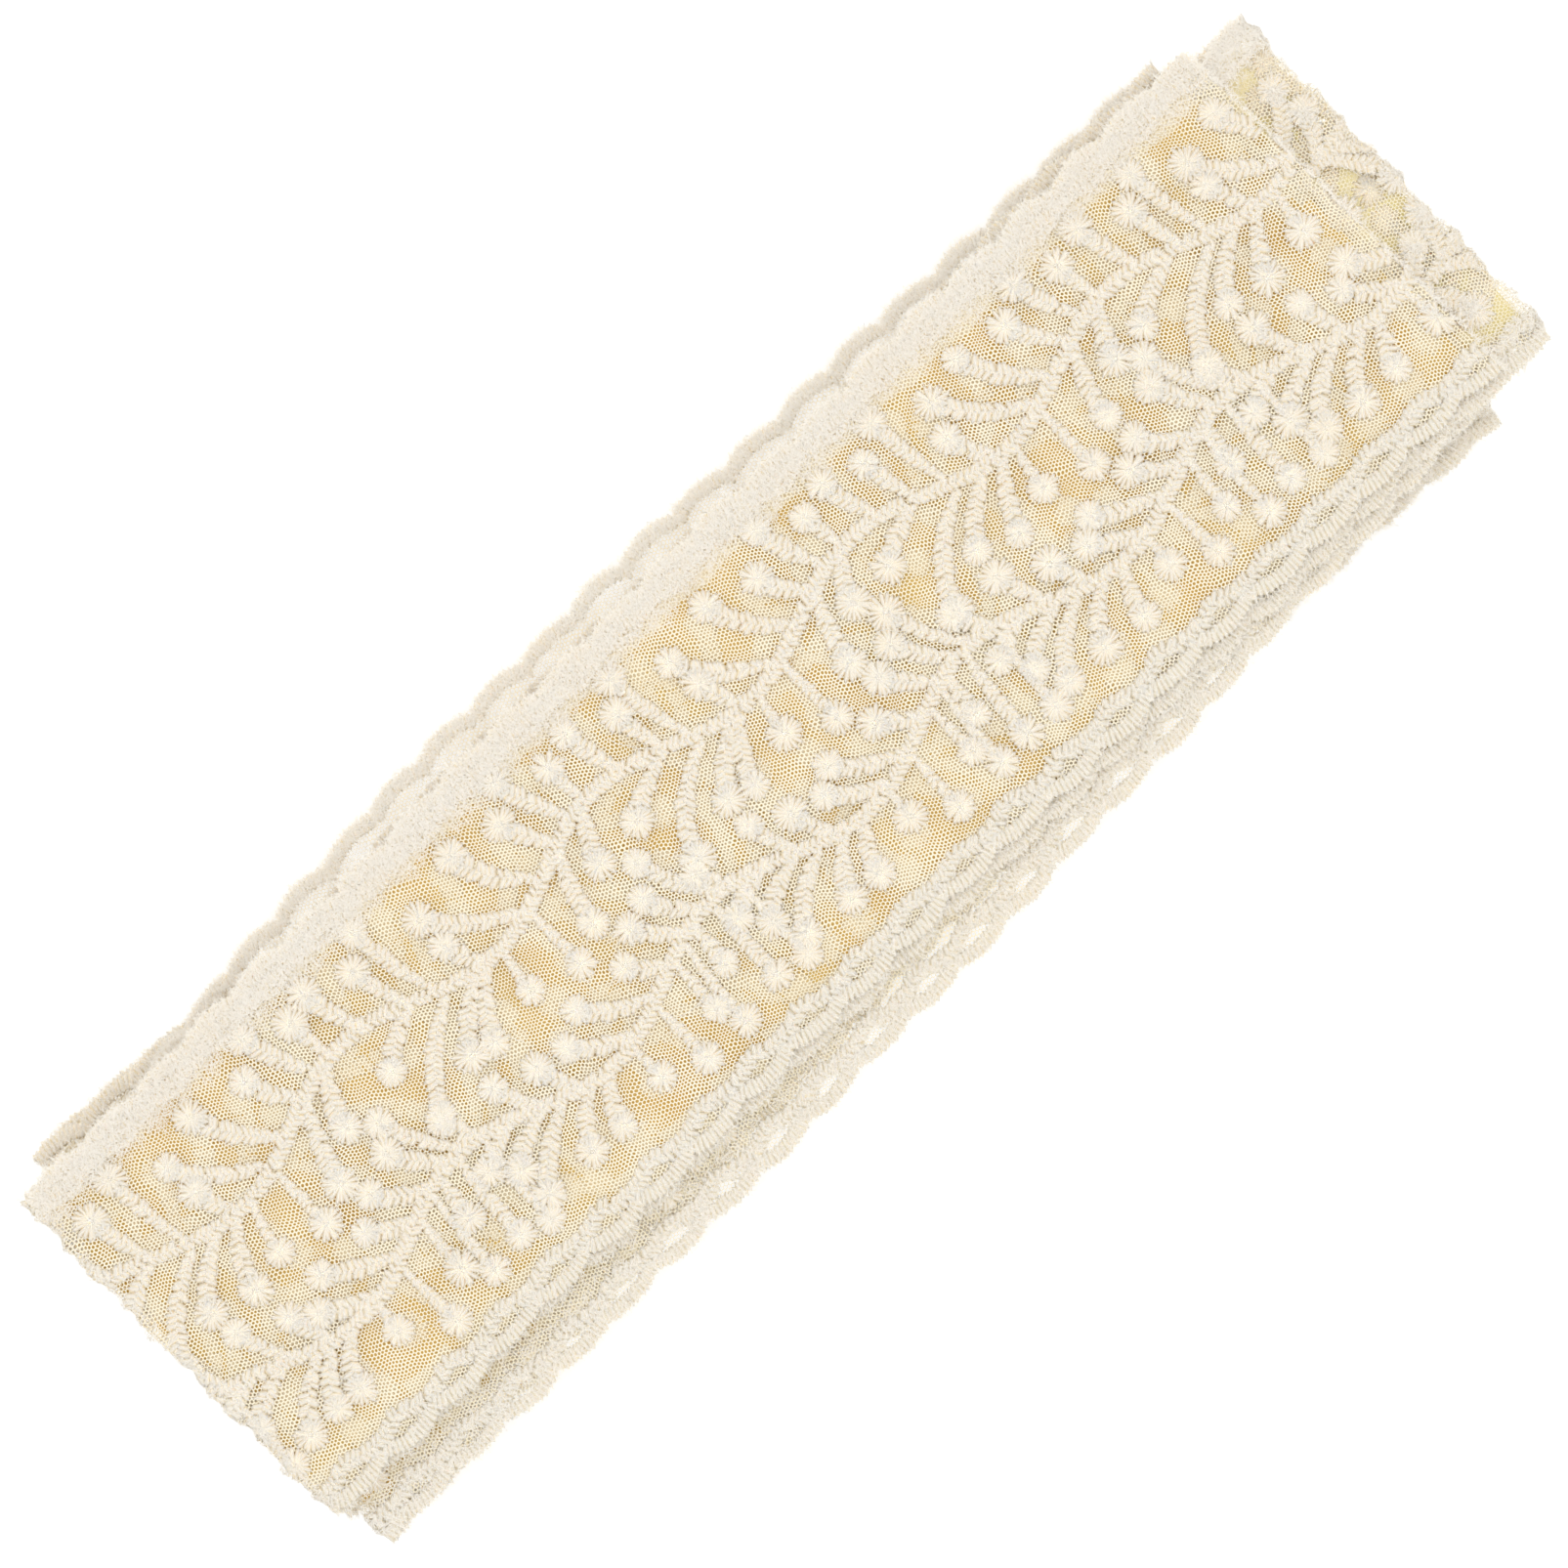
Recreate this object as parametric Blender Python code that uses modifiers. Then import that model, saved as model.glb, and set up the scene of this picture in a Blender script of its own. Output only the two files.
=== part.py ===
"""A bundle of embroidered net lace trim, 80 mm wide, folded back and forth in 300 mm lengths.

The trim is one continuous strip with scalloped long edges. It is cut flat first, in strip
coordinates (along the strip, across it), and then folded into its lengths, one on another.
Row frame: +X along the bundle, +Y across it, +Z up, origin under the middle of the bundle, on the
surface it lies on. Metres.
"""

import math
from collections import namedtuple

import bmesh
import bpy
from mathutils import Vector

# The trim as it is woven
TRIM_WIDTH = 0.0800          # scallop tip to scallop tip
SCALLOP_PITCH = 0.0126
SCALLOP_DEPTH = 0.0017
SCALLOP_FULLNESS = 0.6       # below 1 the scallops are blunt, with tight valleys in between
BORDER_WIDTH = 0.0060        # the corded margin inside each scalloped edge
SHEET = 0.0010               # net with its embroidery, pressed

# How it is folded
FOLD_PITCH = 0.0017          # height from one length to the next, at the middle
FOLD_ROUNDNESS = 1.4         # how far a fold reaches out, over its own half height
FOLD_STEPS = 5               # flats round one fold
END_RISE = 0.10              # the folds prop the ends up by this share
EDGE_PRESS = 0.07            # the long edges lie lower by this share
UNEVEN = 0.09                # how much the gap between two lengths wanders
RIPPLE_LENGTH = 0.085        # of the wander in the lowest gap
RIPPLE_GROWTH = 0.013        # longer in each gap above
RIPPLE_TURN = 2.3            # radians between one gap's wander and the next

# Where lengths reach past those under them they hang down a little
SIDE_START = 0.0410
SIDE_REACH = 0.0080
SIDE_SAG = 0.0015
END_START = 0.1363
END_REACH = 0.0145
END_SAG = 0.0016

# How finely it is cut
EDGE_STEPS = 4               # points along each scallop
STATION_GAP = SCALLOP_PITCH / 8  # a scallop's valley nearer than this to a fold's flat gets no row
RIM = 1e-6                   # points this near the strip's edge belong to it
CREASE_ANGLE = math.radians(50)  # sharper edges than this are drawn sharp

# One row for each length, from the lowest to the top one. left and right say how far its ends
# reach along X; the slip columns say how far it has slipped sideways at five places along it.
# Two lengths that share a fold have the same reach and slip there.
Length = namedtuple("Length", "left right slip_left slip_quarter slip_middle slip_later slip_right")
LENGTHS = (
    Length(-0.1476, 0.1312, -0.0020, -0.0010, 0.0000, -0.0005, -0.0010),
    Length(-0.1474, 0.1312, 0.0077, 0.0026, 0.0002, -0.0008, -0.0010),
    Length(-0.1474, 0.1337, 0.0077, 0.0022, -0.0010, -0.0026, -0.0072),
    Length(-0.1489, 0.1337, 0.0000, -0.0006, -0.0014, -0.0030, -0.0072),
    Length(-0.1489, 0.1355, 0.0000, 0.0075, 0.0082, 0.0055, 0.0028),
    Length(-0.1467, 0.1355, -0.0074, -0.0042, -0.0010, 0.0012, 0.0028),
    Length(-0.1467, 0.1503, -0.0074, -0.0084, -0.0080, -0.0055, -0.0026),
    Length(-0.1492, 0.1503, 0.0024, 0.0014, 0.0000, -0.0016, -0.0026),
    Length(-0.1492, 0.1389, 0.0024, 0.0022, 0.0020, 0.0010, -0.0003),
)
# How far each fold leans along X for every metre across it, from the lowest fold up
FOLD_LEANS = (0.020, 0.088, -0.015, 0.010, -0.025, -0.012, 0.014, 0.006)
HALF_WIDTH = TRIM_WIDTH / 2
HALF_BUNDLE = max(length.right for length in LENGTHS)
TOP = len(LENGTHS) - 1

# Cotton, as seen on the trim
CREAM = (0.90, 0.84, 0.70, 1.0)
CREAM_ROUGHNESS = 0.9


def clear_scene():
    """Removes whatever the file holds."""
    for found in list(bpy.data.objects):
        bpy.data.objects.remove(found)


def new_collection(name):
    """A collection in the scene for the named parts."""
    made = bpy.data.collections.new(name)
    bpy.context.scene.collection.children.link(made)
    return made


def cotton_material():
    """Plain cream cotton."""
    cotton = bpy.data.materials.new("cream_cotton")
    cotton.use_nodes = True
    shader = cotton.node_tree.nodes["Principled BSDF"]
    shader.inputs["Base Color"].default_value = CREAM
    shader.inputs["Roughness"].default_value = CREAM_ROUGHNESS
    shader.inputs["Metallic"].default_value = 0.0
    return cotton


def slip(length, x):
    """How far a length lies off the bundle's middle line at x: a smooth curve through its five values."""
    values = length[2:]
    spans = len(values) - 1
    place = (x - length.left) / (length.right - length.left) * spans
    place = min(max(place, 0.0), spans)
    span = min(int(place), spans - 1)
    t = place - span
    before = values[max(span - 1, 0)]
    start, end = values[span], values[span + 1]
    after = values[min(span + 2, spans)]
    lead_out, lead_in = (end - before) / 2, (after - start) / 2
    return (
        (2 * t**3 - 3 * t**2 + 1) * start
        + (t**3 - 2 * t**2 + t) * lead_out
        + (3 * t**2 - 2 * t**3) * end
        + (t**3 - t**2) * lead_in
    )


def level(index, x, across, y):
    """Height of the middle of a length's cloth: the gaps under it added up, less its sag past the rest."""
    prop = END_RISE * (x / HALF_BUNDLE) ** 4
    press = EDGE_PRESS * (across / HALF_WIDTH) ** 2
    height = SHEET / 2
    for gap in range(index):
        ripple = math.sin(2 * math.pi * x / (RIPPLE_LENGTH + RIPPLE_GROWTH * gap) + RIPPLE_TURN * gap)
        height += FOLD_PITCH * (1 + prop - press + UNEVEN * ripple)
    side = max(0.0, abs(y) - SIDE_START) / SIDE_REACH
    end = max(0.0, x - END_START) / END_REACH
    return height - (SIDE_SAG * side**2 + END_SAG * end**2) * index / TOP


def fold_radius():
    """Nominal half height of a fold."""
    return FOLD_PITCH * (1 + END_RISE) / 2


def fold_inset():
    """From a fold's outermost face back to where its length runs straight."""
    return SHEET / 2 + FOLD_ROUNDNESS * fold_radius()


def straight_ends(index, across):
    """(x where the length starts, x where it ends) as the strip runs, at one place across it."""
    length = LENGTHS[index]
    left, right = (length.left, length.right) if index % 2 == 0 else (length.right, length.left)
    inward = math.copysign(fold_inset(), right - left)
    start = left + (inward + FOLD_LEANS[index - 1] * across if index > 0 else 0.0)
    end = right - (inward - FOLD_LEANS[index] * across if index < TOP else 0.0)
    return start, end


def strip_stretches():
    """What the strip passes through, in order: (kind, index, start along the strip, end)."""
    stretches, along = [], 0.0
    arc = math.pi * fold_radius()
    for index in range(len(LENGTHS)):
        start, end = straight_ends(index, 0.0)
        stretches.append(("length", index, along, along + abs(end - start)))
        along = stretches[-1][3]
        if index < TOP:
            stretches.append(("fold", index, along, along + arc))
            along += arc
    return stretches


STRETCHES = strip_stretches()
STRIP_LENGTH = STRETCHES[-1][3]


def folded(along, across):
    """Where a point of the flat strip lies once the strip is folded."""
    kind, index, start, end = next(
        stretch for stretch in STRETCHES if along <= stretch[3] or stretch is STRETCHES[-1]
    )
    share = min(max((along - start) / (end - start), 0.0), 1.0)
    from_x, to_x = straight_ends(index, across)
    if kind == "length":
        x = from_x + (to_x - from_x) * share
        y = across + slip(LENGTHS[index], x)
        return Vector((x, y, level(index, x, across, y)))
    side = math.copysign(1.0, to_x - from_x)
    y = across + slip(LENGTHS[index], to_x)
    low = level(index, to_x, across, y)
    high = level(index + 1, to_x, across, y)
    turn = math.pi * share
    reach = FOLD_ROUNDNESS * fold_radius() * math.sin(turn)
    return Vector((to_x + side * reach, y, (low + high) / 2 - (high - low) / 2 * math.cos(turn)))


def scalloped(along, across):
    """Draws the strip's very edge in between the scallops' tips."""
    if abs(across) < HALF_WIDTH - RIM:
        return across
    crest = abs(math.sin(math.pi * along / SCALLOP_PITCH)) ** SCALLOP_FULLNESS
    return math.copysign(HALF_WIDTH - SCALLOP_DEPTH * (1 - crest), across)


def cut_stations():
    """Places along the strip that get a row of points: each scallop's valley and the flats of each fold."""
    folds = [stretch for stretch in STRETCHES if stretch[0] == "fold"]
    turns = [
        start + (end - start) * step / FOLD_STEPS
        for _, _, start, end in folds
        for step in range(FOLD_STEPS + 1)
    ]
    valleys = [n * SCALLOP_PITCH for n in range(1, int(STRIP_LENGTH / SCALLOP_PITCH) + 1)]
    held = [0.0, STRIP_LENGTH, *turns]
    valleys = [valley for valley in valleys if min(abs(valley - place) for place in held) > STATION_GAP]
    return sorted(held + valleys)


def flat_strip(mesh):
    """The uncut strip, flat, with a row of points at each station and finer steps along its edges."""
    stations = cut_stations()
    rows = (-HALF_WIDTH, BORDER_WIDTH - HALF_WIDTH, 0.0, HALF_WIDTH - BORDER_WIDTH, HALF_WIDTH)
    last_station, last_row = len(stations) - 1, len(rows) - 1
    bmesh.ops.create_grid(mesh, x_segments=last_station, y_segments=last_row, size=1.0)
    for point in mesh.verts:
        station = round((point.co.x + 1) / 2 * last_station)
        row = round((point.co.y + 1) / 2 * last_row)
        point.co = Vector((stations[station], rows[row], 0.0))
    steps = {}
    for edge in mesh.edges:
        first, second = (point.co for point in edge.verts)
        on_rim = min(abs(first.y), abs(second.y)) > HALF_WIDTH - RIM
        cuts = round(abs(first.x - second.x) * EDGE_STEPS / SCALLOP_PITCH) - 1
        if on_rim and cuts > 0:
            steps.setdefault(cuts, []).append(edge)
    for cuts, edges in steps.items():
        bmesh.ops.subdivide_edges(mesh, edges=edges, cuts=cuts)


def lace_trim(collection, material):
    """The strip, cut, folded and given its thickness."""
    mesh = bmesh.new()
    flat_strip(mesh)
    for point in mesh.verts:
        along, across = point.co.x, point.co.y
        point.co = folded(along, scalloped(along, across))
    bmesh.ops.recalc_face_normals(mesh, faces=mesh.faces)
    data = bpy.data.meshes.new("lace_trim")
    mesh.to_mesh(data)
    mesh.free()
    trim = bpy.data.objects.new("lace_trim", data)
    collection.objects.link(trim)
    cloth = trim.modifiers.new("cloth thickness", "SOLIDIFY")
    cloth.thickness = SHEET
    cloth.offset = 0.0
    cloth.use_even_offset = True
    data.materials.append(material)
    data.shade_smooth()
    data.set_sharp_from_angle(angle=CREASE_ANGLE)
    return trim


clear_scene()
lace_trim(new_collection("lace_trim_bundle"), cotton_material())
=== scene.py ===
"""Dresses the folded lace trim: net ground, stitched sprays, round dots and scalloped borders.

Laid out as a Blender add-on and run as a script. The stitches are charted flat, in strip
coordinates (along the strip, across it, height over its net), and then carried through the folds
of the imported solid. Metres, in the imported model's frame.
"""

import math
from collections import namedtuple

import bpy
import numpy as np
from bpy.props import FloatProperty, FloatVectorProperty, IntProperty, PointerProperty
from bpy.types import Operator, Panel, PropertyGroup
from mathutils import Matrix, Vector


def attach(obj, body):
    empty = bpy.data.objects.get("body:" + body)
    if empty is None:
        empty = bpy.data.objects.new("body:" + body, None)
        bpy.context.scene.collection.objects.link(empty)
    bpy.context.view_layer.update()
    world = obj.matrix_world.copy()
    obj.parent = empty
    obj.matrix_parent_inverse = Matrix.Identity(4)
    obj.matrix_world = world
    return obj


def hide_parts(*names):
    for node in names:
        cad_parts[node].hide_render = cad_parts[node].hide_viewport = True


bl_info = {
    "name": "Folded Lace Trim",
    "version": (1, 0, 0),
    "blender": (4, 5, 0),
    "location": "View3D > Sidebar > Lace",
    "description": "Builds an embroidered net lace trim, folded into a flat bundle",
    "category": "Object",
}

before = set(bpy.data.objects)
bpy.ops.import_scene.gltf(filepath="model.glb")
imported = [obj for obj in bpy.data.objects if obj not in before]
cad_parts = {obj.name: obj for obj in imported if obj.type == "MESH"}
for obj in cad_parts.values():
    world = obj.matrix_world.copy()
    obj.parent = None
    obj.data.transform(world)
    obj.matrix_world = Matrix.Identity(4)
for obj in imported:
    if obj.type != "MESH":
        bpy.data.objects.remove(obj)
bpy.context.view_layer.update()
NODE = "lace_trim"

# The trim as it is cut, and how it is folded: the same values as the solid's
TRIM_WIDTH = 0.0800
SCALLOP_PITCH = 0.0126
SCALLOP_DEPTH = 0.0017
SCALLOP_FULLNESS = 0.6
SHEET = 0.0010
FOLD_PITCH = 0.0017
FOLD_ROUNDNESS = 1.4
END_RISE = 0.10
EDGE_PRESS = 0.07
UNEVEN = 0.09
RIPPLE_LENGTH = 0.085
RIPPLE_GROWTH = 0.013
RIPPLE_TURN = 2.3
SIDE_START, SIDE_REACH, SIDE_SAG = 0.0410, 0.0080, 0.0015
END_START, END_REACH, END_SAG = 0.1363, 0.0145, 0.0016
Length = namedtuple("Length", "left right slip_left slip_quarter slip_middle slip_later slip_right")
LENGTHS = (
    Length(-0.1476, 0.1312, -0.0020, -0.0010, 0.0000, -0.0005, -0.0010),
    Length(-0.1474, 0.1312, 0.0077, 0.0026, 0.0002, -0.0008, -0.0010),
    Length(-0.1474, 0.1337, 0.0077, 0.0022, -0.0010, -0.0026, -0.0072),
    Length(-0.1489, 0.1337, 0.0000, -0.0006, -0.0014, -0.0030, -0.0072),
    Length(-0.1489, 0.1355, 0.0000, 0.0075, 0.0082, 0.0055, 0.0028),
    Length(-0.1467, 0.1355, -0.0074, -0.0042, -0.0010, 0.0012, 0.0028),
    Length(-0.1467, 0.1503, -0.0074, -0.0084, -0.0080, -0.0055, -0.0026),
    Length(-0.1492, 0.1503, 0.0024, 0.0014, 0.0000, -0.0016, -0.0026),
    Length(-0.1492, 0.1389, 0.0024, 0.0022, 0.0020, 0.0010, -0.0003),
)
FOLD_LEANS = (0.020, 0.088, -0.015, 0.010, -0.025, -0.012, 0.014, 0.006)
HALF_WIDTH = TRIM_WIDTH / 2
HALF_BUNDLE = max(length.right for length in LENGTHS)
TOP = len(LENGTHS) - 1
FOLD_RADIUS = FOLD_PITCH * (1 + END_RISE) / 2
FOLD_INSET = SHEET / 2 + FOLD_ROUNDNESS * FOLD_RADIUS

# The chart of one repeat, in millimetres. A vine is a wave along the strip: its middle line, its
# height and the place of its crest. A spray leaves its vine at root, sweeps back along the strip,
# reaches out from the vine and ends in a dot; width is over a full leaflet's.
MM = 0.001
REPEAT = 63.0
Vine = namedtuple("Vine", "middle height crest")
VINES = {"upper": Vine(15.0, 4.0, 51.0), "lower": Vine(-13.3, 4.2, 52.0)}
Spray = namedtuple("Spray", "root back out width", defaults=(1.0,))
SPRAYS = {
    ("upper", 1): (
        Spray(41.0, 6.5, 9.3), Spray(45.5, 6.0, 12.6), Spray(49.5, 1.5, 8.5, 0.8),
        Spray(58.0, 3.5, 12.0), Spray(65.5, 3.0, 11.2, 0.9), Spray(71.0, 3.0, 17.5, 0.8),
        Spray(81.0, 4.5, 8.5), Spray(92.0, 15.0, 12.8), Spray(97.5, 10.5, 13.8, 1.1),
    ),
    ("upper", -1): (
        Spray(41.0, 6.0, 14.2), Spray(49.0, 6.0, 9.9, 1.1), Spray(65.0, 12.5, 5.7),
        Spray(72.5, 17.0, 15.5), Spray(77.5, 12.0, 10.0), Spray(80.5, 8.0, 11.6),
        Spray(84.0, 1.5, 9.5, 0.55), Spray(91.0, 0.5, 13.5, 0.6),
    ),
    ("lower", 1): (
        Spray(46.0, 9.0, 7.3), Spray(51.0, 7.5, 9.6), Spray(55.0, 8.0, 14.3, 0.8),
        Spray(59.0, 4.5, 6.6, 1.1), Spray(70.0, 5.0, 10.2, 0.8), Spray(77.0, 3.5, 8.6),
        Spray(90.0, 10.5, 6.2), Spray(97.0, 13.0, 7.7), Spray(103.0, 8.0, 4.8),
    ),
    ("lower", -1): (
        Spray(47.0, 1.0, 8.9, 0.9), Spray(51.5, 2.0, 17.7, 0.8), Spray(63.0, 9.5, 3.2),
        Spray(69.0, 11.5, 5.7), Spray(74.0, 13.5, 9.8), Spray(78.0, 9.5, 8.6),
        Spray(82.0, 5.5, 9.0), Spray(88.0, 0.0, 7.0, 0.55), Spray(95.0, -0.5, 13.6, 0.6),
        Spray(103.0, 0.5, 11.7, 0.6), Spray(44.5, 2.0, 18.5, 0.55), Spray(58.0, 1.5, 18.0, 0.5),
    ),
}
CHART_X = -0.0779            # where a repeat starts on the top length

# Loose ends of thread on the top length, by the same chart: (along, across, heading)
THREADS = (
    (59.0, 24.5, -0.9), (79.0, 8.5, 3.9), (-48.0, 12.0, 0.6), (12.0, -4.0, 2.2), (33.0, -19.0, 5.5),
    (104.0, 3.0, 0.9), (121.0, -13.5, 3.5), (148.0, 19.0, 5.0), (171.0, -6.0, 1.2), (189.0, 8.0, 4.2),
    (-21.0, -23.0, 2.7), (203.0, 21.0, 2.0), (68.0, -21.0, 0.4), (-62.0, -9.0, 4.9),
)


class LaceSizes(PropertyGroup):
    """Sizes of the stitches and of the net."""

    leaf_width: FloatProperty(
        name="Leaf width", description="Across a stitched vine or leaflet",
        default=0.0040, min=0.001, max=0.006, unit="LENGTH",
    )
    leaf_pitch: FloatProperty(
        name="Leaf stitch pitch", description="From one stitch of a leaflet to the next",
        default=0.00110, min=0.0005, max=0.003, unit="LENGTH",
    )
    dot_radius: FloatProperty(
        name="Dot radius", description="Of a round stitched dot",
        default=0.0035, min=0.001, max=0.006, unit="LENGTH",
    )
    dot_stitches: IntProperty(
        name="Dot stitches", description="Radial stitches in one dot", default=19, min=8, max=30,
    )
    band_width: FloatProperty(
        name="Band width", description="Length of the satin stitches in the straight border",
        default=0.0036, min=0.001, max=0.005, unit="LENGTH",
    )
    cord_width: FloatProperty(
        name="Cord width", description="Length of the satin stitches in the scalloped edge",
        default=0.0034, min=0.001, max=0.005, unit="LENGTH",
    )
    satin_pitch: FloatProperty(
        name="Satin pitch", description="From one satin stitch to the next",
        default=0.00092, min=0.0003, max=0.002, unit="LENGTH",
    )
    lift: FloatProperty(
        name="Lift", description="How far the embroidery stands over the net",
        default=0.00030, min=0.0001, max=0.001, unit="LENGTH",
    )
    fibre_length: FloatProperty(
        name="Fibre length", description="Of the loose fibres on the stitches",
        default=0.0009, min=0.0002, max=0.004, unit="LENGTH",
    )
    fibre_width: FloatProperty(
        name="Fibre width", description="Of the loose fibres on the stitches",
        default=0.000085, min=0.00001, max=0.0003, unit="LENGTH",
    )
    net_pitch: FloatProperty(
        name="Net pitch", description="From one mesh of the net to the next",
        default=0.00069, min=0.0003, max=0.003, unit="LENGTH",
    )


COLOUR = {"subtype": "COLOR", "size": 3, "min": 0.0, "max": 1.0}


class LaceColours(PropertyGroup):
    """Colours of the thread, the net, the floor and the painted shade inside the bundle."""

    thread: FloatVectorProperty(
        name="Thread", description="Embroidery cotton", default=(0.832, 0.786, 0.700), **COLOUR,
    )
    thread_shade: FloatVectorProperty(
        name="Thread shade", description="Embroidery cotton where it is yellowed",
        default=(0.842, 0.780, 0.674), **COLOUR,
    )
    # Painted shade: the warmer colour that each stitch turns to towards its sides, where shade falls
    # between two stitches.
    thread_painted_shade: FloatVectorProperty(
        name="Thread side", description="Embroidery cotton down in between two stitches",
        default=(0.93, 0.83, 0.63), **COLOUR,
    )
    # Painted shade: only the lower bands and cords get this thread. It is darker than the plain
    # thread, for the shade on the strip's lower side. The upper ones take the plain thread.
    thread_shaded_border: FloatVectorProperty(
        name="Border thread", description="Cotton of the bands and cords",
        default=(0.812, 0.772, 0.688), **COLOUR,
    )
    thread_shaded_border_shade: FloatVectorProperty(
        name="Border thread shade", description="Cotton of the borders where it is yellowed",
        default=(0.817, 0.766, 0.666), **COLOUR,
    )
    # Painted shade on the sides of the lower border's stitches, as with the thread's side colour.
    thread_shaded_border_side: FloatVectorProperty(
        name="Border thread side", description="Cotton of the borders down in between two stitches",
        default=(0.86, 0.79, 0.64), **COLOUR,
    )
    # Painted light: a lighter, warmer copy of the thread for the second length's stitches under the
    # top net, standing in for the warm light between the layers.
    thread_painted_under_net: FloatVectorProperty(
        name="Inner thread", description="Embroidery cotton of the lengths inside the bundle",
        default=(0.975, 0.885, 0.68), **COLOUR,
    )
    thread_painted_under_net_shade: FloatVectorProperty(
        name="Inner thread shade", description="The same cotton where it is yellowed",
        default=(0.965, 0.865, 0.64), **COLOUR,
    )
    fibre: FloatVectorProperty(
        name="Fibres", description="Loose fibres and the felted edge",
        default=(0.965, 0.93, 0.86), **COLOUR,
    )
    fibre_shade: FloatVectorProperty(
        name="Fibres' shade", description="Loose fibres where they are yellowed",
        default=(0.965, 0.92, 0.835), **COLOUR,
    )
    # Painted shade: warm yellow for the cloth inside the fold past the cut end, standing in for light
    # passed between the layers.
    fold_inside: FloatVectorProperty(
        name="Inside a fold", description="Cloth inside the fold past the top length's cut end",
        default=(0.97, 0.86, 0.36), **COLOUR,
    )
    # Painted shade: a lighter warm tan for the cloth near the edges inside the bundle, where more
    # light reaches.
    inside_edge: FloatVectorProperty(
        name="Inner edges", description="Edges of the cloth inside the bundle",
        default=(0.93, 0.84, 0.62), **COLOUR,
    )
    net: FloatVectorProperty(
        name="Net", description="Net ground", default=(0.98, 0.905, 0.71), **COLOUR,
    )
    net_shade: FloatVectorProperty(
        name="Net shade", description="Net ground where it is yellowed",
        default=(0.975, 0.88, 0.66), **COLOUR,
    )
    # The cloth is the same cream as the net. Its tan here is painted shade, for the light that
    # bounces between the stacked lengths. It is lighter in patches of the next colour.
    inside: FloatVectorProperty(
        name="Inside", description="Cloth inside the bundle, which the light has not bleached",
        default=(0.76, 0.50, 0.12), **COLOUR,
    )
    inside_shade: FloatVectorProperty(
        name="Inside, lighter", description="The same cloth where more light comes through",
        default=(0.84, 0.64, 0.24), **COLOUR,
    )
    floor: FloatVectorProperty(
        name="Floor", description="The plain floor", default=(0.75, 0.75, 0.75), **COLOUR,
    )


# How the strip is folded

def straight_ends(index, across):
    """(x where the length starts, x where it ends) as the strip runs, at each place across it.
    Ends without a fold don't lean: 0 times across keeps them an array."""
    length = LENGTHS[index]
    left, right = (length.left, length.right) if index % 2 == 0 else (length.right, length.left)
    inward = math.copysign(FOLD_INSET, right - left)
    start = left + (inward + FOLD_LEANS[index - 1] * across if index > 0 else 0.0 * across)
    end = right - (inward - FOLD_LEANS[index] * across if index < TOP else 0.0 * across)
    return start, end


def strip_stretches():
    """What the strip passes through, in order: (kind, index, start along the strip, end)."""
    stretches, along = [], 0.0
    arc = math.pi * FOLD_RADIUS
    for index in range(len(LENGTHS)):
        start, end = straight_ends(index, 0.0)
        stretches.append(("length", index, along, along + abs(end - start)))
        along = stretches[-1][3]
        if index < TOP:
            stretches.append(("fold", index, along, along + arc))
            along += arc
    return stretches


STRETCHES = strip_stretches()
STRIP_LENGTH = STRETCHES[-1][3]
STRETCH_ENDS = np.array([stretch[3] for stretch in STRETCHES])
LOWEST_END = STRETCHES[0][3]
UPPERMOST = STRETCHES[8][2:]         # the length whose upper edge reaches out furthest
SECOND_START = STRETCHES[-3][2]      # the second length down
TOP_START = STRETCHES[-1][2]
PAST_CUT = (STRETCHES[-4][2], SECOND_START + 0.0140)  # what shows past the top length's cut end
CHART_START = TOP_START + CHART_X - float(straight_ends(TOP, 0.0)[0])


def slip(length, x):
    """How far a length lies off the bundle's middle line at each x."""
    values = np.array(length[2:])
    spans = len(values) - 1
    place = np.clip((x - length.left) / (length.right - length.left) * spans, 0.0, spans)
    span = np.minimum(place.astype(int), spans - 1)
    t = place - span
    before, start = values[np.maximum(span - 1, 0)], values[span]
    end, after = values[span + 1], values[np.minimum(span + 2, spans)]
    lead_out, lead_in = (end - before) / 2, (after - start) / 2
    return (
        (2 * t**3 - 3 * t**2 + 1) * start
        + (t**3 - 2 * t**2 + t) * lead_out
        + (3 * t**2 - 2 * t**3) * end
        + (t**3 - t**2) * lead_in
    )


def level(index, x, across, y):
    """Height of the middle of a length's cloth: the gaps under it added up, less its sag."""
    prop = END_RISE * (x / HALF_BUNDLE) ** 4
    press = EDGE_PRESS * (across / HALF_WIDTH) ** 2
    height = np.full_like(x, SHEET / 2)
    for gap in range(index):
        ripple = np.sin(2 * math.pi * x / (RIPPLE_LENGTH + RIPPLE_GROWTH * gap) + RIPPLE_TURN * gap)
        height = height + FOLD_PITCH * (1 + prop - press + UNEVEN * ripple)
    side = np.maximum(0.0, np.abs(y) - SIDE_START) / SIDE_REACH
    end = np.maximum(0.0, x - END_START) / END_REACH
    return height - (SIDE_SAG * side**2 + END_SAG * end**2) * index / TOP


def stretch_of(along):
    """Number of the stretch that each place along the strip is in."""
    return np.minimum(np.searchsorted(STRETCH_ENDS, along), len(STRETCHES) - 1)


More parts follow.
